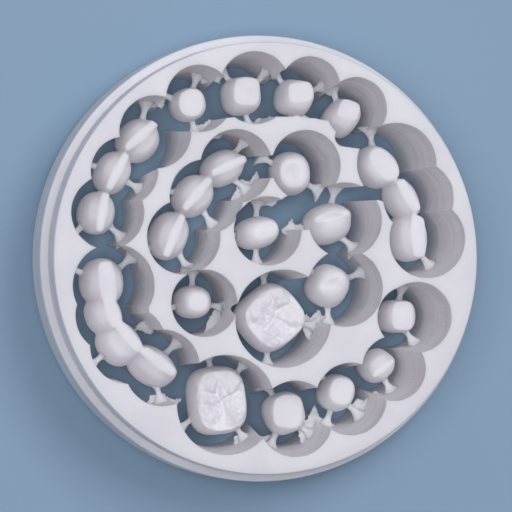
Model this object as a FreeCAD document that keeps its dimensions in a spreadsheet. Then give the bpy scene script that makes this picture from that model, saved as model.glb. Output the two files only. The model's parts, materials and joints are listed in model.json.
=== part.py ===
"""Milled dental disc: a stepped ceramic blank with crowns and bridges still held in it by their sprues.

The frame has +Z up along the disc's axis, on the side that the biting faces look to, and its
origin at the centre of the back face. Lengths are in millimetres. Everything was cut from one
blank, so it is one solid.
"""
import FreeCAD, Part
import math
import os
import Sketcher

NODE = "milled_disc"

# The blank and the cuts that are the same for every unit.
BLANK_SIZES = {
    "body_radius": 47.5,
    "flange_radius": 49.25,
    "thickness": 25.0,
    "flange_thickness": 10.0,
    "back_step": 7.5,
    "cutter_overrun": 2.0,
}

# The levels of a crown above the back face, and the wall left round its hollow.
CROWN_SIZES = {
    "margin_level": 5.5,
    "equator_level": 10.5,
    "shoulder_level": 14.8,
    "crest_level": 18.2,
    "cusp_rise": 0.8,
    "fossa_drop": 1.3,
    "hollow_top_level": 13.0,
    "margin_scale": 0.86,
    "shoulder_scale": 0.88,
    "shoulder_shift": 0.5,
    "hollow_rim_scale": 0.66,
    "hollow_top_scale": 0.42,
    "pontic_foot_scale": 0.5,
}

SPRUE_SIZES = {
    "sprue_level": 11.2,
    "sprue_tip_radius": 0.7,
    "sprue_root_radius": 1.8,
    "sprue_bite": 1.0,
    "web_thickness": 0.7,
    "web_level": 8.6,
}

# What the three groups of numbers of a unit are: its outline, its pocket and its biting end.
FIELDS = (
    ("x", "y", "half_length", "half_width", "turn"),
    ("pocket_x", "pocket_y", "pocket_radius"),
    ("crest_x", "crest_y", "crest_half_length", "crest_half_width", "crest_turn"),
)

# Each unit: its name, its form, whether it is hollow from the back, the groups above, and the
# headings of its sprues in degrees.
UNITS = (
    ("top_one", "cap", True, (-15.0, 34.0, 3.8, 3.7, 20),
     (-15.1, 35.0, 7.4), (-15.0, 34.9, 1.9, 1.7, 75), (158, 72, 285)),
    ("top_two", "wedge", True, (-3.0, 36.0, 4.3, 4.1, 100),
     (-2.6, 37.5, 8.0), (-2.8, 36.8, 2.6, 2.5, 0), (127, 60, 285)),
    ("top_three", "wedge", True, (9.0, 35.7, 4.1, 4.0, 80),
     (9.8, 37.6, 6.8), (9.3, 37.0, 2.6, 1.8, 8), (128, 38, 262)),
    ("top_four", "wedge", True, (19.7, 31.2, 4.2, 3.7, 55),
     (20.2, 33.0, 6.9), (20.2, 33.2, 2.1, 1.5, -15), (105, 237)),
    ("right_bridge_one", "incisor", True, (27.4, 20.4, 4.9, 4.4, 140),
     (29.3, 20.9, 9.0), (28.0, 21.2, 3.4, 1.2, 130), (97,)),
    ("right_bridge_two", "incisor", False, (33.3, 13.2, 4.9, 3.6, 118),
     (34.2, 13.4, 8.0), (33.6, 14.5, 3.5, 0.65, 120), ()),
    ("right_bridge_three", "incisor", True, (34.7, 4.7, 5.4, 4.2, 96),
     (36.2, 4.2, 8.6), (36.2, 5.3, 4.3, 0.65, 93), (310, 190)),
    ("lower_one", "wedge", True, (32.2, -12.8, 4.3, 3.8, 95),
     (33.9, -13.0, 7.8), (32.0, -12.7, 2.8, 1.7, 88), (165, 78, 305)),
    ("lower_two", "cap", True, (27.8, -23.8, 3.9, 3.6, 40),
     (28.6, -24.3, 7.2), (27.7, -24.4, 2.7, 0.7, 37), (143, 300)),
    ("lower_three", "cap", True, (18.5, -29.8, 4.2, 3.8, 70),
     (18.9, -31.0, 8.0), (18.0, -29.2, 1.9, 1.7, 60), (130, 316, 252)),
    ("lower_four", "wedge", True, (6.3, -34.3, 4.7, 4.4, 110),
     (6.4, -35.3, 8.4), (6.3, -34.4, 2.9, 2.5, 60), (122, 247, 322)),
    ("molar_long", "molar", True, (-8.7, -31.4, 7.6, 6.4, 96),
     (-9.1, -32.2, 11.0), (-8.9, -31.4, 5.9, 4.6, 96), (100, 52, 217, 307)),
    ("molar_square", "molar", True, (3.2, -13.1, 7.0, 6.9, 40),
     (3.7, -13.3, 10.8), (3.2, -13.1, 5.2, 5.1, 40), (97, 178, 268, 350)),
    ("left_bridge_one", "incisor", True, (-34.3, -5.3, 5.4, 4.9, 95),
     (-34.2, -6.0, 9.1), (-34.1, -5.4, 4.2, 1.2, 97), (155, 40)),
    ("left_bridge_two", "incisor", False, (-34.2, -12.4, 4.6, 3.9, 110),
     (-34.5, -12.5, 8.2), (-32.5, -11.8, 2.5, 0.8, 117), ()),
    ("left_bridge_three", "incisor", False, (-30.8, -18.8, 5.2, 4.6, 132),
     (-31.0, -19.0, 8.5), (-29.1, -16.7, 3.5, 0.7, 130), (218,)),
    ("left_bridge_four", "incisor", True, (-23.2, -23.8, 5.6, 4.2, 146),
     (-23.4, -24.0, 8.4), (-23.2, -22.1, 4.5, 0.7, 143), (285, 42)),
    ("upper_bridge_one", "incisor", True, (-26.2, 26.0, 5.0, 4.6, 48),
     (-26.0, 26.6, 8.7), (-26.3, 27.2, 4.6, 0.65, 43), (78,)),
    ("upper_bridge_two", "incisor", False, (-32.0, 18.9, 4.9, 4.0, 62),
     (-31.8, 19.0, 7.5), (-32.1, 19.5, 4.7, 0.65, 62), (160, 330)),
    ("upper_bridge_three", "incisor", True, (-35.5, 10.0, 4.8, 4.1, 82),
     (-35.5, 10.0, 8.1), (-35.5, 10.4, 4.1, 0.65, 80), (222, 316)),
    ("inner_bridge_one", "incisor", True, (-7.2, 20.0, 4.9, 3.9, 28),
     (-6.8, 20.2, 8.1), (-7.0, 20.0, 3.6, 0.7, 24), (50, 318)),
    ("inner_bridge_two", "incisor", False, (-13.9, 13.8, 5.0, 4.3, 46),
     (-13.5, 13.5, 8.2), (-14.1, 14.4, 4.7, 0.65, 50), (168, 305)),
    ("inner_bridge_three", "incisor", True, (-19.3, 5.0, 5.5, 4.3, 68),
     (-18.6, 4.6, 8.2), (-19.8, 4.8, 4.9, 0.65, 67), (212, 300)),
    ("inner_one", "premolar", True, (8.1, 18.9, 4.9, 4.4, 95),
     (8.8, 20.4, 7.8), (7.4, 19.0, 3.0, 2.8, 95), (150, 212, 330)),
    ("inner_two", "cap", True, (0.4, 5.7, 4.8, 3.6, 12),
     (0.2, 6.0, 7.6), (1.3, 6.3, 2.4, 1.5, 15), (185, 88, 270)),
    ("inner_three", "premolar", True, (16.6, 7.7, 5.4, 4.5, 18),
     (17.6, 8.4, 8.3), (16.2, 9.2, 3.9, 1.1, 12), (78, 318)),
    ("inner_four", "premolar", True, (16.1, -5.7, 4.9, 4.7, 60),
     (17.6, -6.6, 8.5), (16.2, -5.4, 3.0, 1.6, 30), (140, 270, 22)),
    ("inner_five", "cap", True, (-14.0, -9.6, 4.0, 3.7, 0),
     (-14.0, -9.9, 7.4), (-14.0, -9.6, 1.9, 1.8, 0), (90, 195, 350)),
)

# Cuts that only join neighbouring pockets: the place and radius of each.
JOINING_CUTS = (
    ("joining_cut_one", 8.5, 10.5, 4.2),
)

# The broken skins left where the cutters met, each as the corners of its outline. The side
# that is still attached lies inside the stock.
WEBS = (
    ("web_one", ((-16, 26.6), (-13.4, 29.3), (-10, 30.7), (-8.2, 30.1), (-6.3, 30.7), (-4, 29.3),
                 (-8.5, 26.5))),
    ("web_two", ((-0.6, 28.4), (0.6, 31.3), (2.2, 30.8), (3.6, 31.6), (5.2, 27.8))),
    ("web_three", ((8.2, 29), (9.6, 31.2), (11.6, 32), (14.6, 30.6), (16.4, 28))),
    ("web_four", ((-12.8, 43), (-12, 38.6), (-9.4, 39.6), (-8.2, 38.8), (-6.2, 41.4))),
    ("web_five", ((-5.8, 12), (-3, 17.6), (-1.2, 17), (0.6, 19.4), (3.4, 16.6), (2, 12))),
    ("web_six", ((4.4, 0.8), (6, 5.6), (8.6, 9), (9.2, 7.2), (12.4, 6.6), (9.6, 0.4))),
    ("web_seven", ((12.6, -19), (10.4, -14), (11.8, -12.2), (14.4, -11.4), (17.6, -14.6),
                   (14, -19))),
    ("web_eight", ((-11.6, -17.6), (-8.8, -10.8), (-7.2, -12), (-6, -14.6), (-9.5, -18.4))),
    ("web_nine", ((10.6, -41.6), (9.8, -37.2), (12.2, -35.4), (13.6, -32.4), (14.8, -35.2),
                 (18.2, -37), (14, -41.6))),
    ("web_ten", ((22.8, -36.6), (21.8, -32.6), (23.6, -31), (27.6, -29.4), (30, -31.6),
                    (26.6, -33.4))),
    ("web_eleven", ((-4.6, -43.2), (-4.4, -39.4), (0.4, -39.6), (3.8, -39), (1, -43))),
    ("web_twelve", ((-24.8, -33.2), (-23.4, -30.4), (-18.8, -31), (-16.4, -31), (-19, -34))),
    ("web_thirteen", ((-24, -13), (-26.4, -14.6), (-25.6, -15.8), (-23.4, -16.8), (-21.6, -15))),
)

# The number of cusps round the biting end, and how square the outline is.
CUSPS = {"incisor": 0, "wedge": 0, "cap": 0, "premolar": 2, "molar": 4}
SQUARENESS = {"incisor": 2.2, "wedge": 2.5, "cap": 2.1, "premolar": 2.4, "molar": 2.9}
CROWN_SIDES = 8
SPRUE_SIDES = 4

doc = FreeCAD.newDocument("milled_dental_disc")
sheet = doc.addObject("Spreadsheet::Sheet", "sizes")


def fill_sheet():
    """Write every driving size to the sheet, one to a row, under its alias."""
    values = {}
    for group in (BLANK_SIZES, CROWN_SIZES, SPRUE_SIZES):
        values.update(group)
    for name, form, hollow, *groups, headings in UNITS:
        for fields, numbers in zip(FIELDS, groups):
            for field, number in zip(fields, numbers):
                values[f"{name}_{field}"] = number
    for name, x, y, radius in JOINING_CUTS:
        values[f"{name}_x"] = x
        values[f"{name}_y"] = y
        values[f"{name}_radius"] = radius
    for row, (alias, number) in enumerate(values.items(), start=1):
        sheet.set(f"A{row}", alias)
        sheet.set(f"B{row}", str(number))
        sheet.setAlias(f"B{row}", alias)
    doc.recompute()


def size(alias):
    """The value of one cell of the sheet."""
    return float(sheet.get(alias))


def sized_constraint(sketch, constraint, name, formula):
    """Add a named constraint to a sketch and drive it from the sheet."""
    index = sketch.addConstraint(constraint)
    sketch.renameConstraint(index, name)
    sketch.setExpression(f"Constraints.{name}", formula)


def make_blank():
    """The stepped blank: a half section turned once round the disc's axis."""
    body = doc.addObject("PartDesign::Body", "blank")
    plane = next(f for f in body.Origin.OriginFeatures if f.Role == "XZ_Plane")
    sketch = body.newObject("Sketcher::SketchObject", "half_section")
    sketch.AttachmentSupport = [(plane, "")]
    sketch.MapMode = "FlatFace"
    body_radius = size("body_radius")
    flange_radius = size("flange_radius")
    back_step = size("back_step")
    flange_top = back_step + size("flange_thickness")
    top = size("thickness")
    corners = ((0, 0), (body_radius, 0), (body_radius, back_step), (flange_radius, back_step),
               (flange_radius, flange_top), (body_radius, flange_top), (body_radius, top), (0, top))
    points = [FreeCAD.Vector(x, y, 0) for x, y in corners]
    for start, end in zip(points, points[1:] + points[:1]):
        sketch.addGeometry(Part.LineSegment(start, end), False)
    count = len(corners)
    for index in range(count):
        sketch.addConstraint(Sketcher.Constraint("Coincident", index, 2, (index + 1) % count, 1))
        kind = "Horizontal" if index % 2 == 0 else "Vertical"
        sketch.addConstraint(Sketcher.Constraint(kind, index))
    sketch.addConstraint(Sketcher.Constraint("Coincident", 0, 1, -1, 1))
    sized_constraint(sketch, Sketcher.Constraint("DistanceX", 0, 1, 0, 2, body_radius),
                     "body_radius", "<<sizes>>.body_radius")
    sized_constraint(sketch, Sketcher.Constraint("DistanceX", -1, 1, 3, 1, flange_radius),
                     "flange_radius", "<<sizes>>.flange_radius")
    sized_constraint(sketch, Sketcher.Constraint("DistanceX", -1, 1, 5, 2, body_radius),
                     "front_radius", "<<sizes>>.body_radius")
    sized_constraint(sketch, Sketcher.Constraint("DistanceY", 1, 1, 1, 2, back_step),
                     "back_step", "<<sizes>>.back_step")
    sized_constraint(sketch, Sketcher.Constraint("DistanceY", 3, 1, 3, 2, flange_top - back_step),
                     "flange_thickness", "<<sizes>>.flange_thickness")
    sized_constraint(sketch, Sketcher.Constraint("DistanceY", -1, 1, 6, 2, top),
                     "thickness", "<<sizes>>.thickness")
    turned = body.newObject("PartDesign::Revolution", "turned_blank")
    turned.Profile = sketch
    turned.ReferenceAxis = (sketch, ["V_Axis"])
    turned.Angle = 360
    doc.recompute()
    body.Tip = turned
    return body


def make_cut(label):
    """One upright cylinder through the blank, with its sizes given as formulas."""
    cell = f"<<sizes>>.{label}_"
    cut = doc.addObject("Part::Cylinder", label)
    cut.setExpression("Radius", cell + "radius")
    cut.setExpression("Height", "<<sizes>>.thickness + 2 * <<sizes>>.cutter_overrun")
    cut.setExpression("Placement.Base.x", cell + "x")
    cut.setExpression("Placement.Base.y", cell + "y")
    cut.setExpression("Placement.Base.z", "-<<sizes>>.cutter_overrun")
    return cut


def make_pockets():
    """The pockets round the units, and the cuts that join some of them."""
    pockets = doc.addObject("Part::MultiFuse", "pockets")
    pockets.Shapes = [make_cut(f"{unit[0]}_pocket") for unit in UNITS]
    pockets.Shapes += [make_cut(cut[0]) for cut in JOINING_CUTS]
    return pockets


def ring(centre, length, width, turn, level, form, headings, rise=None):
    """The corners of one level of a crown, a rounded oblong, one for each heading."""
    squareness = SQUARENESS[form]
    corners = []
    for heading in headings:
        c = math.cos(heading - turn)
        s = math.sin(heading - turn)
        reach = (abs(c) ** squareness + abs(s) ** squareness) ** (-1 / squareness)
        corner = FreeCAD.Vector(length * reach * c, width * reach * s, 0)
        corner = FreeCAD.Rotation(FreeCAD.Vector(0, 0, 1), math.degrees(turn)).multVec(corner)
        corner.z = level + (rise(heading - turn) if rise else 0)
        corners.append(corner + centre)
    return corners


def flat_face(corners):
    """A plane face with the given corners."""
    return Part.Face(Part.makePolygon(corners + corners[:1]))


def closed_solid(faces):
    """One solid from the faces that bound it."""
    shell = Part.Shell(faces)
    shell.sewShape()
    solid = Part.Solid(shell)
    if solid.Volume < 0:
        solid.reverse()
    return solid


def band(lower, upper, flat):
    """The faces between two rings: four-sided where their sides are parallel, else triangles."""
    faces = []
    count = len(lower)
    for index in range(count):
        after = (index + 1) % count
        if flat:
            faces.append(flat_face([lower[index], lower[after], upper[after], upper[index]]))
        else:
            faces.append(flat_face([lower[index], lower[after], upper[after]]))
            faces.append(flat_face([lower[index], upper[after], upper[index]]))
    return faces


def make_crown(name, form, hollow):
    """One crown or pontic, standing on its margin with its biting end up."""
    length = size(f"{name}_half_length")
    width = size(f"{name}_half_width")
    turn = math.radians(size(f"{name}_turn"))
    centre = FreeCAD.Vector(size(f"{name}_x"), size(f"{name}_y"), 0)
    crest_centre = FreeCAD.Vector(size(f"{name}_crest_x"), size(f"{name}_crest_y"), 0)
    headings = [turn + 2 * math.pi * (side + 0.5) / CROWN_SIDES for side in range(CROWN_SIDES)]
    cusps = CUSPS[form]
    cusp_rise = size("cusp_rise")

    def level_ring(level, scale, middle=centre):
        return ring(middle, length * scale, width * scale, turn, level, form, headings)

    def rise(angle):
        return cusp_rise * math.cos(cusps * (angle - math.pi / cusps))

    margin = size("margin_level")
    foot = level_ring(margin, size("margin_scale") if hollow else size("pontic_foot_scale"))
    equator = level_ring(size("equator_level"), 1)
    shoulder_centre = centre + (crest_centre - centre) * size("shoulder_shift")
    shoulder = level_ring(size("shoulder_level"), size("shoulder_scale"), shoulder_centre)
    crest = ring(crest_centre, size(f"{name}_crest_half_length"), size(f"{name}_crest_half_width"),
                 math.radians(size(f"{name}_crest_turn")), size("crest_level"), form, headings,
                 rise if cusps else None)
    faces = band(foot, equator, True) + band(equator, shoulder, False) + band(shoulder, crest, False)
    if cusps:
        middle = crest_centre + FreeCAD.Vector(0, 0, size("crest_level") - size("fossa_drop"))
        for index in range(CROWN_SIDES):
            faces.append(flat_face([crest[index], crest[(index + 1) % CROWN_SIDES], middle]))
    else:
        faces.append(flat_face(crest))
    if hollow:
        rim = level_ring(margin, size("hollow_rim_scale"))
        ceiling = level_ring(size("hollow_top_level"), size("hollow_top_scale"))
        faces += flat_face(foot).cut(flat_face(rim)).Faces
        faces += band(rim, ceiling, True)
        faces.append(flat_face(ceiling))
    else:
        faces.append(flat_face(foot))
    return closed_solid(faces)


def wall_distance(name, heading):
    """How far the wall of a unit's pocket is from the unit's centre along a heading."""
    across_x = size(f"{name}_x") - size(f"{name}_pocket_x")
    across_y = size(f"{name}_y") - size(f"{name}_pocket_y")
    along = across_x * math.cos(heading) + across_y * math.sin(heading)
    offset_squared = across_x ** 2 + across_y ** 2
    return -along + math.sqrt(along ** 2 - offset_squared + size(f"{name}_pocket_radius") ** 2)


def pin_section(radius, centre, direction):
    """The corners of a sprue's cross-section, square to its direction."""
    across = FreeCAD.Vector(-direction.y, direction.x, 0)
    up = FreeCAD.Vector(0, 0, 1)
    corners = []
    for side in range(SPRUE_SIDES):
        angle = 2 * math.pi * side / SPRUE_SIDES
        corners.append(centre + across * (radius * math.cos(angle)) + up * (radius * math.sin(angle)))
    return corners


def make_sprue(name, heading):
    """One tapered pin from inside a unit to just inside the wall of its pocket."""
    direction = FreeCAD.Vector(math.cos(heading), math.sin(heading), 0)
    centre = FreeCAD.Vector(size(f"{name}_x"), size(f"{name}_y"), size("sprue_level"))
    reach = wall_distance(name, heading) + size("sprue_bite")
    inset = size(f"{name}_half_width") - size("sprue_bite")
    tip = pin_section(size("sprue_tip_radius"), centre + direction * inset, direction)
    root = pin_section(size("sprue_root_radius"), centre + direction * reach, direction)
    return closed_solid([flat_face(tip), flat_face(root)] + band(tip, root, True))


def make_units():
    """Every crown and pontic with its sprues, each as one object of the document."""
    objects = []
    for name, form, hollow, *groups, headings in UNITS:
        crown = make_crown(name, form, hollow)
        sprues = [make_sprue(name, math.radians(heading)) for heading in headings]
        unit = doc.addObject("Part::Feature", name)
        unit.Shape = crown.multiFuse(sprues) if sprues else crown
        objects.append(unit)
    return objects


def make_webs():
    """The thin broken skins, each a plate with a jagged free edge."""
    objects = []
    level = size("web_level")
    for name, outline in WEBS:
        corners = [FreeCAD.Vector(x, y, level) for x, y in outline]
        web = doc.addObject("Part::Feature", name)
        web.Shape = flat_face(corners).extrude(FreeCAD.Vector(0, 0, size("web_thickness")))
        objects.append(web)
    return objects


fill_sheet()
blank = make_blank()
pockets = make_pockets()
doc.recompute()
milled = doc.addObject("Part::Cut", "blank_with_pockets")
milled.Base = blank
milled.Tool = pockets
doc.recompute()
disc = doc.addObject("Part::MultiFuse", NODE)
disc.Shapes = [milled] + make_units() + make_webs()
disc.Label = NODE
doc.recompute()

for item in doc.Objects:
    for state in ("Invalid", "Error"):
        if state in item.State:
            raise RuntimeError(f"{item.Name} is {state}")
shape = disc.Shape
if shape.isNull() or not shape.isValid() or len(shape.Solids) != 1:
    raise RuntimeError(f"{NODE}: {len(shape.Solids)} solids, valid {shape.isValid()}")

os.makedirs("parts", exist_ok=True)
shape.exportStep(f"parts/{NODE}.step")
print(NODE, "volume", round(shape.Volume, 1), "box", shape.BoundBox)
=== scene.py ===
"""Looks of a milled dental disc: the pocketed blank, its crowns and bridges, and what holds them.

Shapes are worked out in millimetres in the part's frame, +Z up along the disc's axis and the
origin at the centre of the back face, and are written to their meshes in metres.
"""
from collections import namedtuple
import json
import math
import bmesh
import bpy
from bpy.props import FloatProperty, FloatVectorProperty, IntProperty, PointerProperty
from mathutils import Matrix, Vector, noise

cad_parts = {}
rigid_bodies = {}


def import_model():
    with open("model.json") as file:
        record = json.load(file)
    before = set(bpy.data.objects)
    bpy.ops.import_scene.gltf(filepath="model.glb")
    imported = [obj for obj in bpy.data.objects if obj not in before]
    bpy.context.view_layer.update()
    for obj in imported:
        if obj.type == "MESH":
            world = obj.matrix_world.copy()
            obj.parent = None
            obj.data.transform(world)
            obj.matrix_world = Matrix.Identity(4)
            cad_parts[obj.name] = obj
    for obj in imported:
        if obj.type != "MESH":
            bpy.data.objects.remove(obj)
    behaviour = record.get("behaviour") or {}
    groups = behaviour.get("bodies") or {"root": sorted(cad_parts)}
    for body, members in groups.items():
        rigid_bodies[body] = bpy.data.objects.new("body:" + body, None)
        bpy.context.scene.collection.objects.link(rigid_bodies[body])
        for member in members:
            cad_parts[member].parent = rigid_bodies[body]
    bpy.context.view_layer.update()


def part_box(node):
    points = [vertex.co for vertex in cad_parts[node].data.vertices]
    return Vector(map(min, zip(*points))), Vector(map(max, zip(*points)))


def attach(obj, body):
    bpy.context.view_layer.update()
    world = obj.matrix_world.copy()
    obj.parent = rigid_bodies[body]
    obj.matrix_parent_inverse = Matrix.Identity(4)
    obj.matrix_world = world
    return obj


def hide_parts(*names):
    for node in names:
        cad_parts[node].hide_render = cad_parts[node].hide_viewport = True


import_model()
NODE = "milled_disc"
LOWEST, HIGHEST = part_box(NODE)

bl_info = {
    "name": "Milled dental disc",
    "version": (1, 0, 0),
    "blender": (4, 5, 0),
    "location": "3D Viewport > Sidebar > Milled Disc",
    "description": "Builds a pocketed ceramic disc with its crowns, sprues and broken skins",
    "category": "Add Mesh",
}

MM = 0.001
THICKNESS = (HIGHEST.z - LOWEST.z) / MM
# How far a cutter runs past the blank at each end.
OVERRUN = 2
# The steps in which the blank's section is turned round the axis.
TURNING_STEPS = 200
# How uneven the cutter leaves a pocket's wall.
WALL_UNEVENNESS = 0.07
# The stations down a pocket's wall: the height, and how far the wall has gone in by there, as a
# share of its way to the back circle. The pairs close together are the steps between passes.
WALL_STATIONS = ((25.0 + OVERRUN, 0.0), (25.0, 0.0), (21.0, 0.13), (17.6, 0.26), (16.9, 0.32),
                 (13.0, 0.48), (9.9, 0.62), (9.3, 0.69), (6.0, 0.83), (0.0, 1.0), (-OVERRUN, 1.0))
# The grid on which a bridge's units are fused, and how often the result is smoothed.
FUSED_GRID = 0.2
FUSED_SMOOTHINGS = 5

# A sprue: how deep its ends lie in the crown and in the wall, how far along the gap its neck is,
# how uneven it is, and its height as a share of its width.
SPRUE_IN_CROWN = 1.2
SPRUE_IN_WALL = 0.7
SPRUE_NECK_AT = 0.25
SPRUE_UNEVENNESS = 0.22
SPRUE_FLATNESS = 0.8

# A broken skin: half its thickness where it is attached and at its torn edge, how far that edge
# curls up, the pitch and depth of the edge's teeth, and the longest edges in each round of
# dividing its faces. The seed sets the shape of the teeth.
SKIN_ATTACHED_HALF = 0.6
SKIN_TORN_HALF = 0.12
SKIN_CURL = 0.8
SKIN_TEETH = ((1.7, 0.35), (4.0, 0.35))
SKIN_EDGE_LIMITS = (1.6, 0.8, 0.5)
SKIN_SEED = 11

# The crowns and pontics. The group is the piece that a unit is part of, the form is a row of
# FORMS, and a hollow unit is open at the back. The outline and the biting end (crest) are given as
# centre, half length, half width and turn, the pocket as centre, radius on the front and radius on
# the back, and the sprues by their headings. Turns and headings are in degrees.
Unit = namedtuple("Unit", "name group form hollow outline pocket crest headings")
UNITS = tuple(Unit(*row) for row in (
    ("top_one", "top_singles", "cap", True, (-15.0, 34.0, 3.8, 3.7, 20),
     (-15.1, 35.0, 7.4, 6.2), (-15.6, 34.4, 2.9, 2.5, 85), (158, 72, 285)),
    ("top_two", "top_singles", "wedge", True, (-3.0, 36.0, 4.3, 4.1, 100),
     (-2.6, 37.5, 8.0, 6.9), (-3.0, 37.0, 2.9, 2.7, 85), (127, 42, 285)),
    ("top_three", "top_singles", "wedge", True, (9.0, 35.7, 4.1, 4.0, 80),
     (9.8, 37.6, 6.8, 6.4), (9.2, 36.8, 2.6, 2.1, 8), (128, 22, 262)),
    ("top_four", "top_singles", "wedge", True, (19.7, 31.2, 4.2, 3.7, 55),
     (20.2, 33.0, 6.9, 5.8), (20.1, 33.0, 2.2, 2.0, -15), (105, 237)),
    ("right_bridge_one", "right_bridge", "cap", True, (27.4, 20.4, 4.9, 4.4, 140),
     (29.3, 20.9, 9.0, 8.1), (28.2, 20.9, 4.0, 2.0, 130), (97,)),
    ("right_bridge_two", "right_bridge", "incisor", False, (33.3, 13.2, 4.9, 3.6, 118),
     (34.2, 13.4, 8.0, 6.6), (33.3, 14.4, 4.3, 1.15, 121), ()),
    ("right_bridge_three", "right_bridge", "incisor", True, (34.7, 4.7, 5.4, 4.2, 96),
     (36.2, 4.2, 8.6, 7.3), (35.8, 5.3, 4.9, 1.5, 93), (310, 190)),
    ("lower_one", "lower_singles", "wedge", True, (32.2, -12.8, 4.2, 3.7, 0),
     (33.9, -13.0, 7.8, 6.4), (32.3, -12.7, 3.1, 2.2, 88), (165, 78, 305)),
    ("lower_two", "lower_singles", "cap", True, (27.8, -23.8, 3.9, 3.6, 40),
     (28.6, -24.3, 7.2, 5.4), (27.7, -24.4, 2.7, 0.7, 37), (143, 300)),
    ("lower_three", "lower_singles", "cap", True, (18.5, -29.8, 4.2, 3.8, 70),
     (18.9, -31.0, 8.0, 6.6), (18.3, -29.3, 2.7, 2.4, 80), (130, 316, 252)),
    ("lower_four", "lower_singles", "wedge", True, (6.7, -34.3, 4.7, 4.4, 110),
     (6.4, -35.3, 8.4, 6.9), (6.1, -33.7, 3.5, 3.1, 85), (122, 247, 322)),
    ("molar_long", "molars", "molar", True, (-8.7, -31.4, 7.6, 6.4, 96),
     (-9.1, -32.2, 11.0, 10.0), (-8.7, -31.4, 6.4, 5.3, 96), (100, 52, 217, 307)),
    ("molar_square", "molars", "molar", True, (3.2, -13.1, 7.0, 6.9, 40),
     (3.7, -13.3, 10.8, 9.9), (3.4, -13.0, 5.9, 5.8, 40), (97, 178, 268, 350)),
    ("left_bridge_one", "left_bridge", "incisor", True, (-34.3, -5.3, 5.4, 4.9, 95),
     (-34.2, -6.0, 9.1, 9.0), (-34.4, -5.2, 4.4, 1.7, 97), (155, 40)),
    ("left_bridge_two", "left_bridge", "incisor", False, (-34.2, -12.4, 4.6, 3.9, 110),
     (-34.5, -12.5, 8.2, 7.4), (-33.2, -11.8, 3.2, 1.4, 108), ()),
    ("left_bridge_three", "left_bridge", "incisor", False, (-30.8, -18.8, 5.2, 4.6, 132),
     (-31.0, -19.0, 8.5, 7.6), (-29.6, -17.0, 3.9, 1.2, 130), (218,)),
    ("left_bridge_four", "left_bridge", "incisor", True, (-23.2, -23.8, 5.6, 4.2, 146),
     (-23.4, -24.0, 8.4, 8.0), (-23.4, -22.3, 5.0, 1.1, 143), (285, 42)),
    ("upper_bridge_one", "upper_bridge", "incisor", True, (-26.2, 26.0, 5.0, 4.6, 48),
     (-24.9, 27.6, 8.0, 8.4), (-26.5, 27.3, 5.1, 0.95, 41), (78,)),
    ("upper_bridge_two", "upper_bridge", "incisor", False, (-32.0, 18.9, 4.9, 4.0, 62),
     (-31.8, 19.0, 7.5, 7.0), (-32.0, 19.3, 4.9, 0.95, 62), (160, 330)),
    ("upper_bridge_three", "upper_bridge", "incisor", True, (-35.5, 10.0, 4.8, 4.1, 82),
     (-35.5, 10.0, 8.1, 8.0), (-35.4, 10.4, 4.5, 0.95, 80), (222, 316)),
    ("inner_bridge_one", "inner_bridge", "incisor", True, (-7.2, 20.0, 4.9, 3.9, 28),
     (-6.8, 20.2, 8.1, 7.0), (-7.1, 20.4, 4.2, 0.9, 24), (50, 318)),
    ("inner_bridge_two", "inner_bridge", "incisor", False, (-13.9, 13.8, 5.0, 4.3, 46),
     (-13.5, 13.5, 8.2, 7.6), (-14.1, 14.4, 5.0, 0.95, 49), (168, 305)),
    ("inner_bridge_three", "inner_bridge", "incisor", True, (-19.3, 5.0, 5.5, 4.3, 68),
     (-18.6, 4.6, 8.2, 8.1), (-19.5, 4.8, 5.1, 0.95, 67), (212, 300)),
    ("inner_one", "inner_singles", "premolar", True, (8.1, 18.9, 4.9, 4.4, 95),
     (8.8, 20.4, 7.8, 7.1), (7.4, 19.0, 3.0, 2.8, 95), (150, 212, 330)),
    ("inner_two", "inner_singles", "cap", True, (0.4, 5.7, 4.8, 3.6, 12),
     (0.2, 6.0, 7.6, 6.6), (1.3, 6.3, 2.4, 1.5, 15), (185, 88, 270)),
    ("inner_three", "inner_singles", "premolar", True, (16.6, 7.7, 5.4, 4.5, 18),
     (17.6, 8.4, 8.3, 7.8), (16.2, 9.2, 3.9, 1.1, 12), (78, 318)),
    ("inner_four", "inner_singles", "premolar", True, (16.7, -6.1, 4.8, 4.7, 60),
     (17.6, -6.6, 8.5, 8.3), (16.2, -5.4, 3.0, 1.6, 30), (140, 270, 22)),
    ("inner_five", "inner_singles", "cap", True, (-14.0, -9.6, 4.0, 3.7, 0),
     (-14.0, -9.9, 7.4, 7.0), (-14.0, -9.6, 1.9, 1.8, 0), (90, 195, 350)),
))

# What was also cleared where pockets join: the two ends of each cut's centre line, and its radius.
JOINING_CUTS = (
    ((8.5, 10.5), (8.5, 10.4), 4.2),
    ((5.4, 11.2), (8.0, 12.6), 2.6),
    ((-0.6, 20.2), (2.6, 20.1), 2.5),
    ((-9.6, 33.6), (-7.6, 33.8), 2.9),
    ((2.6, 34.0), (5.4, 34.0), 2.9),
    ((11.5, 33.6), (13.5, 33.2), 2.9),
    ((17.4, 26.7), (21.9, 26.1), 2.1),
    ((17.5, 14.4), (29.0, 14.3), 1.5),
    ((31.8, -13.0), (31.9, -13.0), 6.9),
)

# For each form: how square the outline is, how square the biting end is, how high it is, how
# softly it turns into the flanks, and the share of the rows above the equator on the flanks.
FORMS = {
    "incisor": (2.2, 4.5, 18.6, 0.12, 0.65),
    "wedge": (2.7, 4.0, 18.1, 0.16, 0.65),
    "cap": (2.3, 2.6, 18.1, 0.35, 0.65),
    "premolar": (2.3, 2.4, 17.9, 0.35, 0.4),
    "molar": (3.0, 3.0, 17.4, 0.3, 0.4),
}
# How far towards the outline a biting end reaches at most and how far on from its edge its relief
# has faded out, both as shares of the way, and how uneven a crown is.
CREST_LIMIT = 0.9
RELIEF_FADED_AT = 0.6
CROWN_UNEVENNESS = 0.12

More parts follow.
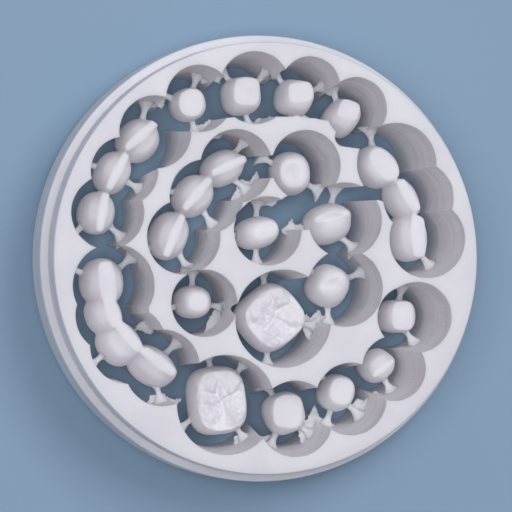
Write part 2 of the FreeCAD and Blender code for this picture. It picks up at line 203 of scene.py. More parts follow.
# A molar's cusps, each as its place on the biting end, from -1 to 1, and its height. Its side
# grooves, each as its place along the end and the side that it runs to.
CUSPS = ((0.62, 0.5, 1.5), (-0.5, 0.62, 1.3), (0.58, -0.55, 1.3), (-0.6, -0.52, 1.5),
         (0.05, 0.72, 0.9))
SIDE_GROOVES = ((0.15, 1), (-0.3, 1), (0.02, -1), (-0.62, -1))

# The broken skins left where the cutters met, each as the corners of its outline. The side that
# is still attached lies inside the stock.
SKINS = (
    ((-16, 26.6), (-13.4, 29.3), (-11.8, 29.8), (-10, 30.7), (-8.2, 30.1), (-6.3, 30.7), (-4, 29.3),
     (-8.5, 26.5)),
    ((-0.6, 28.4), (0.6, 31.3), (2.2, 30.8), (3.6, 31.6), (5.4, 30.4), (5.2, 27.8)),
    ((8.2, 29), (9.6, 31.2), (11.6, 32), (12.6, 30.8), (14.6, 30.6), (16.4, 28)),
    ((-12.8, 43), (-12, 38.6), (-9.4, 39.6), (-8.2, 38.8), (-6.2, 41.4)),
    ((-26.4, 35.8), (-24, 33.2), (-22.2, 33.8), (-20.8, 33), (-19.6, 36), (-23, 37)),
    ((-5.8, 12), (-4.6, 14.4), (-3, 17.6), (-1.2, 17), (0.6, 19.4), (1.2, 17.2), (3.4, 16.6), (2, 12)),
    ((-2, 12.2), (-0.5, 14.2), (1.5, 13.7), (3, 13.2), (5.8, 13.6), (4.6, 12), (1, 11.6)),
    ((7.4, 4.6), (6.1, 6.4), (7.3, 7.3), (8.5, 9), (9.1, 7.5), (10.6, 7.8), (12.4, 6.6), (10.4, 4.8)),
    ((12.6, -19), (10.4, -14), (11.8, -12.2), (12.8, -13.2), (14.4, -11.4), (17.6, -14.6),
     (14, -19)),
    ((-11.6, -17.6), (-10.4, -13.4), (-8.8, -10.8), (-7.2, -12), (-6, -14.6), (-9.5, -18.4)),
    ((10.6, -41.6), (9.8, -37.2), (12.2, -35.4), (13.6, -32.4), (14.8, -35.2), (18.2, -37),
     (14, -41.6)),
    ((22.8, -36.6), (21.8, -32.6), (23.6, -31), (24.8, -31.8), (27.6, -29.4), (30, -31.6),
     (26.6, -33.4)),
    ((-4.6, -43.2), (-4.4, -39.4), (-1.6, -38.8), (0.4, -39.6), (3.8, -39), (1, -43)),
    ((-24.8, -33.2), (-23.4, -30.4), (-21, -29.6), (-18.8, -31), (-16.4, -31), (-19, -34)),
    ((-24, -13), (-26.4, -14.6), (-27.4, -16), (-25.6, -15.8), (-23.4, -16.8), (-21.6, -15)),
)

# For each finish of the ceramic: the strength of the cutter's marks, the strength of the bump,
# and the weight of the light that spreads below the surface.
FINISHES = {
    "chalky_ceramic_blank": (3.0, 0.6, 0.7),
    "chalky_ceramic_crowns": (0.1, 0.2, 1.0),
    "chalky_ceramic_molars": (0.1, 0.4, 0.15),
    "chalky_ceramic_thin": (0.1, 0.2, 0.9),
}
# How far that light spreads.
SPREAD = 2.5
# The stretches of the two noises that draw the cutter's marks: first down the wall, then round it.
MARK_STRETCHES = ((850, 850, 50), (70, 70, 480))
# The colour by which the darkest marks are multiplied.
MARK_TINT = (0.9, 0.9, 0.9, 1)

# The soft lamps: name, width in metres, power in watts and place in metres.
LAMPS = (
    ("key", 0.45, 3.4, (0.28, 0.36, 0.95)),
    ("fill", 0.5, 3.2, (-0.44, 0.03, 1.2)),
    ("front", 0.3, 2.8, (-0.26, -0.02, 1.4)),
)
LAMP_COLOUR = (0.94, 0.95, 1.0)
# The place, in metres, that the lamps face.
LAMP_AIM = (0, 0, 0.01)

# The light from all round: its colour, the direction it is strongest from, and its strength on the
# dark side and on the bright side.
SKY_COLOUR = (0.9, 0.91, 1.0, 1)
SKY_TOP = (0.1, 0.3, 0.95)
SKY_STRENGTHS = (0.08, 0.36)

# The photograph's view: how far the disc's axis leans from the line of sight, towards which side
# of the picture, the camera's distance, and how far the disc's front is off the picture's middle.
LEAN = 0.20568
LEAN_SIDE = 3.18598
DISTANCE = 1317.47 * MM
OFF_CENTRE = (2.4176 * MM, -0.4780 * MM)
LENS_PER_SENSOR = 6000 / 512
SENSOR_WIDTH = 36


class DiscSizes(bpy.types.PropertyGroup):
    """The blank's sizes."""
    body_radius: FloatProperty(
        name="Body radius", description="Radius of the body in front of and behind the flange",
        default=47.5 * MM, unit="LENGTH")
    flange_radius: FloatProperty(
        name="Flange radius", description="Radius of the flange that is clamped",
        default=(HIGHEST.x - LOWEST.x) / 2, unit="LENGTH")
    back_step: FloatProperty(
        name="Back step", description="Height of the flange's underside above the back face",
        default=7.5 * MM, unit="LENGTH")
    flange_thickness: FloatProperty(
        name="Flange thickness", description="Height of the flange's rim",
        default=10.0 * MM, unit="LENGTH")
    edge_round: FloatProperty(
        name="Edge round", description="Radius of the turned edges",
        default=0.3 * MM, unit="LENGTH")


class CrownSizes(bpy.types.PropertyGroup):
    """The levels that every crown shares, above the back face."""
    margin_level: FloatProperty(
        name="Margin level", description="Height of a crown's margin",
        default=5.5 * MM, unit="LENGTH")
    equator_level: FloatProperty(
        name="Equator level", description="Height where a crown is widest",
        default=10.5 * MM, unit="LENGTH")
    hollow_level: FloatProperty(
        name="Hollow level", description="Height of the ceiling of a crown's hollow",
        default=13.0 * MM, unit="LENGTH")
    around: IntProperty(
        name="Sides", description="Faces round a crown", default=96, min=12)
    rows: IntProperty(
        name="Rows", description="Faces from the hollow's middle to the crest's", default=72, min=12)


class SprueSizes(bpy.types.PropertyGroup):
    """The pins that hold the crowns, and the broken skins."""
    sprue_level: FloatProperty(
        name="Sprue level", description="Height of the sprues' centre lines",
        default=11.2 * MM, unit="LENGTH")
    neck_radius: FloatProperty(
        name="Neck radius", description="Radius of a sprue at its thinnest",
        default=0.62 * MM, unit="LENGTH")
    root_radius: FloatProperty(
        name="Root radius", description="Radius of a sprue where it leaves the wall",
        default=2.7 * MM, unit="LENGTH")
    skin_level: FloatProperty(
        name="Skin level", description="Height of the broken skins",
        default=10.5 * MM, unit="LENGTH")


class FinishColours(bpy.types.PropertyGroup):
    """The colours of the ceramic and of the stage."""
    ceramic: FloatVectorProperty(
        name="Ceramic", description="Colour of the unfired ceramic", subtype="COLOR",
        size=3, default=(0.885, 0.865, 0.885), min=0, max=1)
    shade: FloatVectorProperty(
        name="Ceramic shade", description="Colour of its faint darker clouds", subtype="COLOR",
        size=3, default=(0.845, 0.82, 0.85), min=0, max=1)
    floor: FloatVectorProperty(
        name="Floor", description="Colour of the floor", subtype="COLOR",
        size=3, default=(0.30, 0.43, 0.56), min=0, max=1)


def sizes(group):
    """One of the scene's groups of settings."""
    return getattr(bpy.context.scene, group)


def finished_piece(bm, name, material, smooth_angle):
    """Turn a bmesh in millimetres into a piece in metres that rides on the disc.

    Edges sharper than the angle, in degrees, stay sharp.
    """
    bmesh.ops.scale(bm, vec=Vector((MM, MM, MM)), verts=bm.verts)
    mesh = bpy.data.meshes.new(name)
    bm.to_mesh(mesh)
    bm.free()
    mesh.polygons.foreach_set("use_smooth", [True] * len(mesh.polygons))
    mesh.set_sharp_from_angle(angle=math.radians(smooth_angle))
    piece = bpy.data.objects.new(name, mesh)
    bpy.context.scene.collection.objects.link(piece)
    mesh.materials.append(material)
    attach(piece, "root")
    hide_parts(NODE)


def between(value, low, high):
    """Nought below low, one above high, and a smooth step between them."""
    share = min(max((value - low) / (high - low), 0), 1)
    return share * share * (3 - 2 * share)


def new_material(name):
    """A material with only its output and a Principled shader."""
    material = bpy.data.materials.new(name)
    material.use_nodes = True
    nodes = material.node_tree.nodes
    nodes.clear()
    output = nodes.new("ShaderNodeOutputMaterial")
    shader = nodes.new("ShaderNodeBsdfPrincipled")
    material.node_tree.links.new(shader.outputs[0], output.inputs[0])
    return material, shader


def add_node(tree, kind, values=None, **settings):
    """Add a node to a tree, with its settings and the values of its inputs."""
    node = tree.nodes.new(kind)
    for field, value in settings.items():
        setattr(node, field, value)
    for socket, value in (values or {}).items():
        node.inputs[socket].default_value = value
    return node


def chalk_group():
    """The node group for chalky ceramic: clouded colour, roughness and a fine bump height."""
    name = "chalk"
    if name in bpy.data.node_groups:
        return bpy.data.node_groups[name]
    group = bpy.data.node_groups.new(name, "ShaderNodeTree")
    link = group.links.new
    for label, kind, value in (("Colour", "NodeSocketColor", (0.8, 0.8, 0.8, 1)),
                               ("Shade", "NodeSocketColor", (0.7, 0.7, 0.7, 1)),
                               ("Cloud size", "NodeSocketFloat", 90.0),
                               ("Grain size", "NodeSocketFloat", 2600.0),
                               ("Streaks", "NodeSocketFloat", 0.3)):
        socket = group.interface.new_socket(label, in_out="INPUT", socket_type=kind)
        socket.default_value = value
    for label, kind in (("Colour", "NodeSocketColor"), ("Roughness", "NodeSocketFloat"),
                        ("Height", "NodeSocketFloat")):
        group.interface.new_socket(label, in_out="OUTPUT", socket_type=kind)
    given = add_node(group, "NodeGroupInput")
    result = add_node(group, "NodeGroupOutput")
    place = add_node(group, "ShaderNodeTexCoord")

    # Faint clouds between the two colours, and a fine grain.
    cloud = add_node(group, "ShaderNodeTexNoise", {"Detail": 3})
    link(place.outputs["Object"], cloud.inputs["Vector"])
    link(given.outputs["Cloud size"], cloud.inputs["Scale"])
    sharpened = add_node(group, "ShaderNodeMapRange", {"From Min": 0.42, "From Max": 0.62})
    link(cloud.outputs[0], sharpened.inputs[0])
    clouded = add_node(group, "ShaderNodeMix", data_type="RGBA")
    link(sharpened.outputs[0], clouded.inputs[0])
    link(given.outputs["Colour"], clouded.inputs[6])
    link(given.outputs["Shade"], clouded.inputs[7])
    grain = add_node(group, "ShaderNodeTexNoise", {"Detail": 4})
    link(place.outputs["Object"], grain.inputs["Vector"])
    link(given.outputs["Grain size"], grain.inputs["Scale"])

    # The cutter's marks, which show only where a face is within 30 degrees of upright.
    marks = []
    for stretch in MARK_STRETCHES:
        stretched = add_node(group, "ShaderNodeMapping", {"Scale": stretch})
        link(place.outputs["Object"], stretched.inputs["Vector"])
        mark = add_node(group, "ShaderNodeTexNoise", {"Scale": 1, "Detail": 2})
        link(stretched.outputs[0], mark.inputs["Vector"])
        marks.append(mark)
    streak = add_node(group, "ShaderNodeMath", operation="ADD")
    link(marks[0].outputs[0], streak.inputs[0])
    link(marks[1].outputs[0], streak.inputs[1])
    facing = add_node(group, "ShaderNodeSeparateXYZ")
    link(place.outputs["Normal"], facing.inputs[0])
    upright = add_node(group, "ShaderNodeMath", {1: 0, 2: 0.5}, operation="COMPARE")
    link(facing.outputs["Z"], upright.inputs[0])
    on_walls = add_node(group, "ShaderNodeMath", operation="MULTIPLY")
    link(upright.outputs[0], on_walls.inputs[0])
    link(given.outputs["Streaks"], on_walls.inputs[1])
    streaked = add_node(group, "ShaderNodeMath", operation="MULTIPLY")
    link(streak.outputs[0], streaked.inputs[0])
    link(on_walls.outputs[0], streaked.inputs[1])
    band = add_node(group, "ShaderNodeMapRange", {"From Min": 0.47, "From Max": 0.6, "To Max": 0.2})
    link(marks[1].outputs[0], band.inputs[0])
    banded = add_node(group, "ShaderNodeMath", operation="MULTIPLY")
    link(band.outputs[0], banded.inputs[0])
    link(on_walls.outputs[0], banded.inputs[1])
    darker = add_node(group, "ShaderNodeMix", data_type="RGBA", blend_type="MULTIPLY")
    darker.inputs[7].default_value = MARK_TINT
    link(banded.outputs[0], darker.inputs[0])
    link(clouded.outputs[2], darker.inputs[6])

    grained = add_node(group, "ShaderNodeMath", {1: 0.35}, operation="MULTIPLY_ADD")
    link(grain.outputs[0], grained.inputs[0])
    link(streaked.outputs[0], grained.inputs[2])
    rough = add_node(group, "ShaderNodeMapRange", {"To Min": 0.62, "To Max": 0.82})
    link(grain.outputs[0], rough.inputs[0])
    link(darker.outputs[2], result.inputs["Colour"])
    link(rough.outputs[0], result.inputs["Roughness"])
    link(grained.outputs[0], result.inputs["Height"])
    return group


def chalk_material(name):
    """Chalky unfired ceramic in one of its finishes."""
    if name in bpy.data.materials:
        return bpy.data.materials[name]
    streaks, bump, glow = FINISHES[name]
    colours = sizes("disc_colours")
    material, shader = new_material(name)
    tree = material.node_tree
    chalk = add_node(tree, "ShaderNodeGroup", node_tree=chalk_group())
    chalk.inputs["Colour"].default_value = (*colours.ceramic, 1)
    chalk.inputs["Shade"].default_value = (*colours.shade, 1)
    chalk.inputs["Streaks"].default_value = streaks
    relief = add_node(tree, "ShaderNodeBump", {"Strength": bump, "Distance": 0.1 * MM})
    tree.links.new(chalk.outputs["Colour"], shader.inputs["Base Color"])
    tree.links.new(chalk.outputs["Roughness"], shader.inputs["Roughness"])
    tree.links.new(chalk.outputs["Height"], relief.inputs["Height"])
    tree.links.new(relief.outputs[0], shader.inputs["Normal"])
    shader.inputs["Specular IOR Level"].default_value = 0.35
    shader.inputs["Subsurface Weight"].default_value = glow
    shader.inputs["Subsurface Radius"].default_value = (1.0, 0.92, 0.9)
    shader.inputs["Subsurface Scale"].default_value = SPREAD * MM
    return material


def turned_blank():
    """The stepped blank, its half section spun once round the axis."""
    disc = sizes("disc_sizes")
    body = disc.body_radius / MM
    flange = disc.flange_radius / MM
    low = disc.back_step / MM
    high = low + disc.flange_thickness / MM
    edge = disc.edge_round / MM
    inner = edge * 0.6
    outline = ((0, 0), (body - edge, 0), (body - edge * 0.3, edge * 0.3), (body, edge),
               (body, low), (flange - inner, low), (flange, low + inner),
               (flange, high - inner), (flange - inner, high), (body, high),
               (body, THICKNESS - edge), (body - edge * 0.3, THICKNESS - edge * 0.3),
               (body - edge, THICKNESS), (0, THICKNESS))
    bm = bmesh.new()
    verts = [bm.verts.new((x, 0, z)) for x, z in outline]
    edges = [bm.edges.new(pair) for pair in zip(verts, verts[1:])]
    bmesh.ops.spin(bm, geom=verts + edges, cent=(0, 0, 0), axis=(0, 0, 1), dvec=(0, 0, 0),
                   angle=2 * math.pi, steps=TURNING_STEPS, use_merge=True)
    bmesh.ops.remove_doubles(bm, verts=bm.verts, dist=0.001)
    bmesh.ops.recalc_face_normals(bm, faces=bm.faces)
    return bm


def wall_circle(unit, level):
    """The centre and radius of a unit's pocket at one height."""
    x, y, front_radius, back_radius = unit.pocket
    for (high, before), (low, after) in zip(WALL_STATIONS, WALL_STATIONS[1:]):
        if level >= low:
            share = before + (after - before) * (high - level) / (high - low)
            break
    centre = Vector((x, y)).lerp(Vector(unit.outline[:2]), share)
    return centre, front_radius + (back_radius - front_radius) * share


def pocket_cutter(unit):
    """The solid that is cut away round one unit, drawn in towards the back."""
    bm = bmesh.new()
    bmesh.ops.create_cone(bm, cap_ends=True, segments=120, radius1=1, radius2=1, depth=1)
    sides = [e for e in bm.edges if e.verts[0].co.z != e.verts[1].co.z]
    bmesh.ops.subdivide_edges(bm, edges=sides, cuts=len(WALL_STATIONS) - 2, use_grid_fill=True)
    for vert in bm.verts:
        index = round((0.5 - vert.co.z) * (len(WALL_STATIONS) - 1))
        level = WALL_STATIONS[index][0]
        centre, radius = wall_circle(unit, level)
        if level < THICKNESS:
            place = Vector((vert.co.x * 3.5, vert.co.y * 3.5, centre.x + level * 0.02))
            radius += noise.noise(place) * WALL_UNEVENNESS
        vert.co = (centre.x + vert.co.x * radius, centre.y + vert.co.y * radius, level)
    bmesh.ops.recalc_face_normals(bm, faces=bm.faces)
    return bm


def joining_cutter(start, end, radius):
    """An upright slot with round ends to cut away between two pockets."""
    bm = bmesh.new()
    bmesh.ops.create_cone(bm, cap_ends=True, segments=64, radius1=radius, radius2=radius,
                          depth=THICKNESS + 2 * OVERRUN)
    for vert in bm.verts:
        centre = end if vert.co.xy.dot(end - start) > 0 else start
        vert.co += Vector((*centre, THICKNESS / 2))
    return bm


def cut_away(bm, cutters):
    """Take the cutters' solids out of a bmesh with one exact boolean."""
    tray = bpy.data.collections.new("cutters")
    bpy.context.scene.collection.children.link(tray)
    for cutter in cutters:
        mesh = bpy.data.meshes.new("cutter")
        cutter.to_mesh(mesh)
        cutter.free()
        tray.objects.link(bpy.data.objects.new("cutter", mesh))
    result = with_modifier(bm, "BOOLEAN", {"operation": "DIFFERENCE", "operand_type": "COLLECTION",
                                           "collection": tray, "solver": "EXACT"})
    for spent in list(tray.objects):
        bpy.data.objects.remove(spent)
    bpy.data.collections.remove(tray)
    return result


def chewing_relief(along, across):
    """How many millimetres a molar's biting end rises: its cusps, grooves and unevenness."""
    relief = 0.0
    for cusp_along, cusp_across, rise in CUSPS:
        far = (along - cusp_along) ** 2 + (across - cusp_across) ** 2
        relief += rise * math.exp(-far / 0.1)
    wave = 0.1 * math.sin(4 * along)
    main = math.exp(-((across - wave) / 0.09) ** 2) * (1 - between(abs(along), 0.5, 0.9))
    relief -= 1.1 * main
    for groove, side in SIDE_GROOVES:
        line = along - groove - 0.3 * abs(across)
        inside = between(across * side, 0.0, 0.15) * (1 - between(abs(across), 0.6, 1.0))
        relief -= 0.9 * math.exp(-(line / 0.07) ** 2) * inside
    relief += 0.8 * noise.noise(Vector((along * 3.2, across * 3.2, 3)))
    relief += 0.4 * noise.noise(Vector((along * 7, across * 7, 3)))
    return relief - 0.3 * math.exp(-(along ** 2 + across ** 2) / 0.2)


def biting_relief(form, along, across):
    """How many millimetres a biting end rises at a place on it, given from -1 to 1 each way."""
    if form == "molar":
        return chewing_relief(along, across)
    if form == "premolar":
        relief = 0.35 * math.exp(-((math.hypot(along, across) - 0.75) / 0.25) ** 2)
        relief -= 0.45 * math.exp(-(along ** 2 + across ** 2) / 0.12)
        return relief + 0.3 * (across + 0.3 * along) * math.exp(-(along ** 2 + across ** 2))
    return 0.1 * noise.noise(Vector((along * 1.5, across * 1.5, 5))) - 0.2 * across ** 2


def lower_rows(hollow, margin, equator, ceiling):
    """The rows of a crown up to its equator: share of the rows, share of the outline, height."""
    if hollow:
        return ((0.0, 0.0, ceiling), (0.05, 0.30, ceiling - 0.3), (0.10, 0.46, ceiling - 1.6),
                (0.20, 0.62, margin + 0.8), (0.22, 0.66, margin + 0.1), (0.24, 0.70, margin),
                (0.27, 0.84, margin), (0.29, 0.885, margin + 0.3), (0.36, 0.96, equator - 2.6),
                (0.42, 1.0, equator))
    return ((0.0, 0.0, margin + 0.4), (0.10, 0.35, margin + 0.7), (0.20, 0.7, margin + 1.9),
            (0.32, 0.94, equator - 1.8), (0.42, 1.0, equator))


def square_reach(x, y, half_length, half_width, square):
    """The factor that takes (x, y) out to the edge of a squared ellipse."""
    return ((abs(x) / half_length) ** square + (abs(y) / half_width) ** square) ** (-1 / square)


def outline_reach(unit, heading):
    """How far a unit's outline is from its centre along a heading."""
    half_length, half_width, turn = unit.outline[2:]
    heading -= math.radians(turn)
    return square_reach(math.cos(heading), math.sin(heading), half_length, half_width,
                        FORMS[unit.form][0])


def lower_place(rows, share):
    """How far out, as a share of the outline, and how high a row under the equator is."""
    for (before, reach, level), (after, next_reach, next_level) in zip(rows, rows[1:]):
        if share <= after:
            step = (share - before) / (after - before)
            return reach + (next_reach - reach) * step, level + (next_level - level) * step


def upper_place(form, rim, equator, over):
    """How far out and how high a row over the equator is, down the flank or on the biting end.

    The rim is the biting end's edge as a share of the way to the outline.
    """
    crest_level, soft, flank_share = FORMS[form][2:]
    if over >= flank_share:
        return rim * (1 - over) / (1 - flank_share), crest_level
    down = 1 - (over / flank_share) ** 1.3
    fall = (math.hypot(down, soft) - soft) / (math.hypot(1, soft) - soft)
    level = crest_level - (crest_level - equator) * (0.5 * fall + 0.5 * fall ** 4)
    return rim + (1 - rim) * down, level


def crown_mesh(unit):
    """One crown or pontic: a sphere's rows laid from its hollow, over the margin, to the crest."""
    turn = unit.outline[4]
    crest_x, crest_y, crest_length, crest_width, crest_turn = unit.crest
    levels = sizes("crown_sizes")
    equator = levels.equator_level / MM
    rows = lower_rows(unit.hollow, levels.margin_level / MM, equator, levels.hollow_level / MM)
    equator_share = rows[-1][0]
    centre = Vector(unit.outline[:2])
    crest_centre = Vector((crest_x, crest_y))
    unturned = Matrix.Rotation(-math.radians(crest_turn), 2)
    bm = bmesh.new()
    bmesh.ops.create_uvsphere(bm, u_segments=levels.around, v_segments=levels.rows, radius=1)
    for vert in bm.verts:
        share = 1 - math.acos(max(-1, min(1, vert.co.z))) / math.pi
        heading = math.atan2(vert.co.y, vert.co.x) + math.radians(turn)
        direction = Vector((math.cos(heading), math.sin(heading)))
        edge = centre + direction * outline_reach(unit, heading)
        if share <= equator_share:
            reach, level = lower_place(rows, share)
            spot = centre + (edge - centre) * reach
        else:
            out = unturned @ (edge - crest_centre)
            rim = square_reach(out.x, out.y, crest_length, crest_width, FORMS[unit.form][1])
            rim = min(rim, CREST_LIMIT)
            over = (share - equator_share) / (1 - equator_share)
            reach, level = upper_place(unit.form, rim, equator, over)
            spot = crest_centre + (edge - crest_centre) * reach
            local = unturned @ (spot - crest_centre)
            fade = 1 - between(reach, rim, rim + (1 - rim) * RELIEF_FADED_AT)
            level += fade * biting_relief(unit.form, local.x / crest_length, local.y / crest_width)
            place = Vector((spot.x * 0.5, spot.y * 0.5, level * 0.4))
            level += CROWN_UNEVENNESS * noise.noise(place)
        vert.co = (spot.x, spot.y, level)
    bmesh.ops.remove_doubles(bm, verts=bm.verts, dist=0.002)
    bmesh.ops.recalc_face_normals(bm, faces=bm.faces)
    return bm


def wall_distance(unit, heading, level):
    """How far the pocket's wall is from the unit's centre along a heading at one height."""
    wall, radius = wall_circle(unit, level)
    offset = Vector(unit.outline[:2]) - wall
    along = offset.x * math.cos(heading) + offset.y * math.sin(heading)
    return -along + math.sqrt(along ** 2 - offset.length_squared + radius ** 2)


def sprue_mesh(unit, heading):
    """One pin with a narrow neck, flared into the crown at one end and into the wall at the other."""
    sprue = sizes("sprue_sizes")
    neck = sprue.neck_radius / MM
    root = sprue.root_radius / MM
    level = sprue.sprue_level / MM
    edge = outline_reach(unit, heading)
    wall = wall_distance(unit, heading, level)
    start = edge - SPRUE_IN_CROWN
    end = wall + SPRUE_IN_WALL
    waist = (edge + (wall - edge) * SPRUE_NECK_AT - start) / (end - start)
    bm = bmesh.new()
    bmesh.ops.create_cone(bm, cap_ends=True, segments=28, radius1=1, radius2=1, depth=1)
    sides = [e for e in bm.edges if e.verts[0].co.z != e.verts[1].co.z]
    bmesh.ops.subdivide_edges(bm, edges=sides, cuts=18, use_grid_fill=True)
    for vert in bm.verts:
        share = vert.co.z + 0.5
        if share > waist:
            radius = neck + (root - neck) * ((share - waist) / (1 - waist)) ** 2.0
        else:
            radius = neck + (root * 0.5 - neck * 0.5) * ((waist - share) / waist) ** 2.0
        place = Vector((share * 5, vert.co.x * 1.5 + heading * 9, vert.co.y * 1.5))
        radius *= 1 + SPRUE_UNEVENNESS * noise.noise(place)
        vert.co = (start + (end - start) * share, vert.co.x * radius,
                   vert.co.y * radius * SPRUE_FLATNESS)
    bmesh.ops.rotate(bm, cent=(0, 0, 0), matrix=Matrix.Rotation(heading, 3, "Z"), verts=bm.verts)
    bmesh.ops.translate(bm, vec=(*unit.outline[:2], level), verts=bm.verts)
    bmesh.ops.recalc_face_normals(bm, faces=bm.faces)
    return bm


def skin_mesh(corners):
    """One broken skin: a thin plate with a torn edge, thicker where it is still attached."""
    level = sizes("sprue_sizes").skin_level / MM
    attached = (Vector(corners[0]) + Vector(corners[-1])) / 2
    bm = bmesh.new()
    bm.faces.new([bm.verts.new((*corner, 0)) for corner in corners])
    bmesh.ops.subdivide_edges(bm, edges=bm.edges[:], cuts=7)
    for vert in bm.verts:
        for pitch, depth in SKIN_TEETH:
            jag = noise.noise_vector(Vector((vert.co.x * pitch, vert.co.y * pitch, 1)))
            vert.co += Vector((jag.x, jag.y, 0)) * depth
    bmesh.ops.triangulate(bm, faces=bm.faces[:])
    for longest in SKIN_EDGE_LIMITS:
        long_edges = [e for e in bm.edges if e.calc_length() > longest]
        bmesh.ops.subdivide_edges(bm, edges=long_edges, cuts=1)
        bmesh.ops.triangulate(bm, faces=bm.faces[:])
    raised = bmesh.ops.extrude_face_region(bm, geom=bm.faces[:])
    top = {g for g in raised["geom"] if isinstance(g, bmesh.types.BMVert)}
    reach = max((vert.co.xy - attached).length for vert in bm.verts)
    for vert in bm.verts:
        torn = (vert.co.xy - attached).length / reach
        lift = 0.4 * noise.noise(Vector((vert.co.x * 0.5, vert.co.y * 0.5, 4)))
        lift += 0.15 * noise.noise(Vector((vert.co.x * 2, vert.co.y * 2, 4)))
        half = SKIN_ATTACHED_HALF + (SKIN_TORN_HALF - SKIN_ATTACHED_HALF) * torn
        vert.co.z = level + lift + SKIN_CURL * torn + (half if vert in top else -half)
    bmesh.ops.recalc_face_normals(bm, faces=bm.faces)
    return bm


def with_modifier(bm, kind, settings):
    """A bmesh put through one modifier."""
    mesh = bpy.data.meshes.new("worked")
    bm.to_mesh(mesh)
    bm.free()
    worked = bpy.data.objects.new("worked", mesh)
    bpy.context.scene.collection.objects.link(worked)
    modifier = worked.modifiers.new("work", kind)
    for field, value in settings.items():
        setattr(modifier, field, value)
    bpy.context.view_layer.update()
    evaluated = worked.evaluated_get(bpy.context.evaluated_depsgraph_get())
    result = bmesh.new()
    result.from_mesh(evaluated.to_mesh())
    evaluated.to_mesh_clear()
    bpy.data.objects.remove(worked)
    bpy.data.meshes.remove(mesh)
    return result


def fused(bm):
    """The units of a bridge as one skin, with the creases between them softened."""
    bm = with_modifier(bm, "REMESH", {"mode": "VOXEL", "voxel_size": FUSED_GRID})
    for _ in range(FUSED_SMOOTHINGS):
        bmesh.ops.smooth_vert(bm, verts=bm.verts, factor=0.5, use_axis_x=True, use_axis_y=True,
                              use_axis_z=True)
    return bm


def joined(parts):
    """Several bmeshes as one."""
    whole = bmesh.new()
    for part in parts:
        mesh = bpy.data.meshes.new("part")
        part.to_mesh(mesh)
        part.free()
        whole.from_mesh(mesh)
        bpy.data.meshes.remove(mesh)
    return whole


class MILLEDDISC_OT_blank(bpy.types.Operator):
    """Turn the stepped blank and cut its pockets"""
    bl_idname = "milled_disc.blank"
    bl_label = "Blank with pockets"

    def execute(self, context):
        cutters = [pocket_cutter(unit) for unit in UNITS]
        for start, end, radius in JOINING_CUTS:
            cutters.append(joining_cutter(Vector(start), Vector(end), radius))
        bm = cut_away(turned_blank(), cutters)
        finished_piece(bm, "blank", chalk_material("chalky_ceramic_blank"), 30)
        return {"FINISHED"}


class MILLEDDISC_OT_crowns(bpy.types.Operator):
    """Model every crown and bridge, one piece to each group"""
    bl_idname = "milled_disc.crowns"
    bl_label = "Crowns and bridges"

    def execute(self, context):
        groups = {}
        for unit in UNITS:
            groups.setdefault(unit.group, []).append(crown_mesh(unit))
        for name, parts in groups.items():
            whole = joined(parts)
            if name.endswith("bridge"):
                whole = fused(whole)
            finish = "chalky_ceramic_molars" if name == "molars" else "chalky_ceramic_crowns"
            finished_piece(whole, name, chalk_material(finish), 60)
        return {"FINISHED"}


class MILLEDDISC_OT_sprues(bpy.types.Operator):
    """Model the sprues that hold the crowns"""
    bl_idname = "milled_disc.sprues"
    bl_label = "Sprues"

    def execute(self, context):
        parts = []
        for unit in UNITS:
            for heading in unit.headings:
                parts.append(sprue_mesh(unit, math.radians(heading)))
        finished_piece(joined(parts), "sprues", chalk_material("chalky_ceramic_thin"), 60)
        return {"FINISHED"}


class MILLEDDISC_OT_skins(bpy.types.Operator):
    """Model the broken skins between the pockets"""
    bl_idname = "milled_disc.skins"
    bl_label = "Broken skins"

    def execute(self, context):
        noise.seed_set(SKIN_SEED)
        parts = [skin_mesh(corners) for corners in SKINS]
        finished_piece(joined(parts), "broken_skins", chalk_material("chalky_ceramic_thin"), 50)
        return {"FINISHED"}


class MILLEDDISC_OT_stage(bpy.types.Operator):
    """Lay the floor and set the lamps and the camera"""
    bl_idname = "milled_disc.stage"
    bl_label = "Stage"

    def execute(self, context):
        scene = context.scene
        bpy.ops.mesh.primitive_plane_add(size=4)
        floor = context.object
        floor.name = "floor"
        floor.data.materials.append(floor_material())
        for lamp in LAMPS:
            add_lamp(*lamp)
        scene.world = studio_world()
        add_camera()
        scene.view_settings.view_transform = "Standard"
        return {"FINISHED"}


def floor_material():
    """A plain matt floor with a faint unevenness."""
    material, shader = new_material("floor")
    tree = material.node_tree
    colour = sizes("disc_colours").floor
    place = add_node(tree, "ShaderNodeTexCoord")
    cloud = add_node(tree, "ShaderNodeTexNoise", {"Scale": 3})
    tree.links.new(place.outputs["Object"], cloud.inputs["Vector"])
    mix = add_node(tree, "ShaderNodeMix", data_type="RGBA")
    mix.inputs[6].default_value = (*colour, 1)
    mix.inputs[7].default_value = (*[channel * 0.94 for channel in colour], 1)
    tree.links.new(cloud.outputs[0], mix.inputs[0])
    tree.links.new(mix.outputs[2], shader.inputs["Base Color"])
    shader.inputs["Roughness"].default_value = 0.9
    return material


def studio_world():
    """Soft light from all round, strongest from above and from the picture's top."""
    world = bpy.data.worlds.new("studio")
    world.use_nodes = True
    tree = world.node_tree
    place = add_node(tree, "ShaderNodeTexCoord")
    facing = add_node(tree, "ShaderNodeVectorMath", {1: SKY_TOP}, operation="DOT_PRODUCT")
    tree.links.new(place.outputs["Generated"], facing.inputs[0])
    weakest, strongest = SKY_STRENGTHS
    strength = add_node(tree, "ShaderNodeMapRange",
                        {"From Min": -0.3, "To Min": weakest, "To Max": strongest})
    tree.links.new(facing.outputs["Value"], strength.inputs[0])
    background = tree.nodes["Background"]
    background.inputs["Color"].default_value = SKY_COLOUR
    tree.links.new(strength.outputs[0], background.inputs["Strength"])
    return world


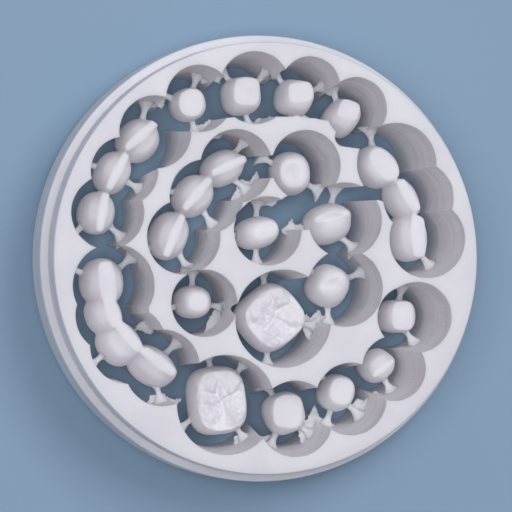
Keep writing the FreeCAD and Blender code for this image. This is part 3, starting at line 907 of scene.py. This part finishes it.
def add_lamp(name, size, power, place):
    """A square soft lamp that faces the disc."""
    data = bpy.data.lights.new(name, "AREA")
    data.size = size
    data.energy = power
    data.color = LAMP_COLOUR
    lamp = bpy.data.objects.new(name, data)
    lamp.location = place
    lamp.rotation_euler = (Vector(LAMP_AIM) - lamp.location).to_track_quat("-Z", "Y").to_euler()
    bpy.context.scene.collection.objects.link(lamp)


def add_camera():
    """The camera at the photograph's angle, level with its picture."""
    axis = Vector((-math.sin(LEAN_SIDE), math.cos(LEAN_SIDE), 0))
    seen = Matrix.Rotation(-LEAN, 3, axis)
    data = bpy.data.cameras.new("camera")
    data.sensor_width = SENSOR_WIDTH
    data.lens = LENS_PER_SENSOR * SENSOR_WIDTH
    data.clip_end = 20
    camera = bpy.data.objects.new("camera", data)
    back = seen.transposed()
    place = back @ (Vector((0, 0, DISTANCE)) - Vector((*OFF_CENTRE, 0)))
    camera.matrix_world = Matrix.Translation(place + Vector((0, 0, HIGHEST.z))) @ back.to_4x4()
    bpy.context.scene.collection.objects.link(camera)
    bpy.context.scene.camera = camera


class MILLEDDISC_PT_panel(bpy.types.Panel):
    """The disc's settings and pieces in the sidebar"""
    bl_idname = "MILLEDDISC_PT_panel"
    bl_label = "Milled disc"
    bl_space_type = "VIEW_3D"
    bl_region_type = "UI"
    bl_category = "Milled Disc"

    def draw(self, context):
        layout = self.layout
        for group in GROUPS:
            settings = getattr(context.scene, group)
            for field in settings.__annotations__:
                layout.prop(settings, field)
        for operator in OPERATORS:
            layout.operator(operator.bl_idname)


GROUPS = {"disc_sizes": DiscSizes, "crown_sizes": CrownSizes, "sprue_sizes": SprueSizes,
          "disc_colours": FinishColours}
OPERATORS = (MILLEDDISC_OT_blank, MILLEDDISC_OT_crowns, MILLEDDISC_OT_sprues,
             MILLEDDISC_OT_skins, MILLEDDISC_OT_stage)
CLASSES = tuple(GROUPS.values()) + OPERATORS + (MILLEDDISC_PT_panel,)


def register():
    for cls in CLASSES:
        bpy.utils.register_class(cls)
    for name, group in GROUPS.items():
        setattr(bpy.types.Scene, name, PointerProperty(type=group))


def unregister():
    for name in GROUPS:
        delattr(bpy.types.Scene, name)
    for cls in reversed(CLASSES):
        bpy.utils.unregister_class(cls)


def main():
    register()
    bpy.ops.milled_disc.blank()
    bpy.ops.milled_disc.crowns()
    bpy.ops.milled_disc.sprues()
    bpy.ops.milled_disc.skins()
    bpy.ops.milled_disc.stage()
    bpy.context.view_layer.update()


if __name__ == "__main__":
    main()
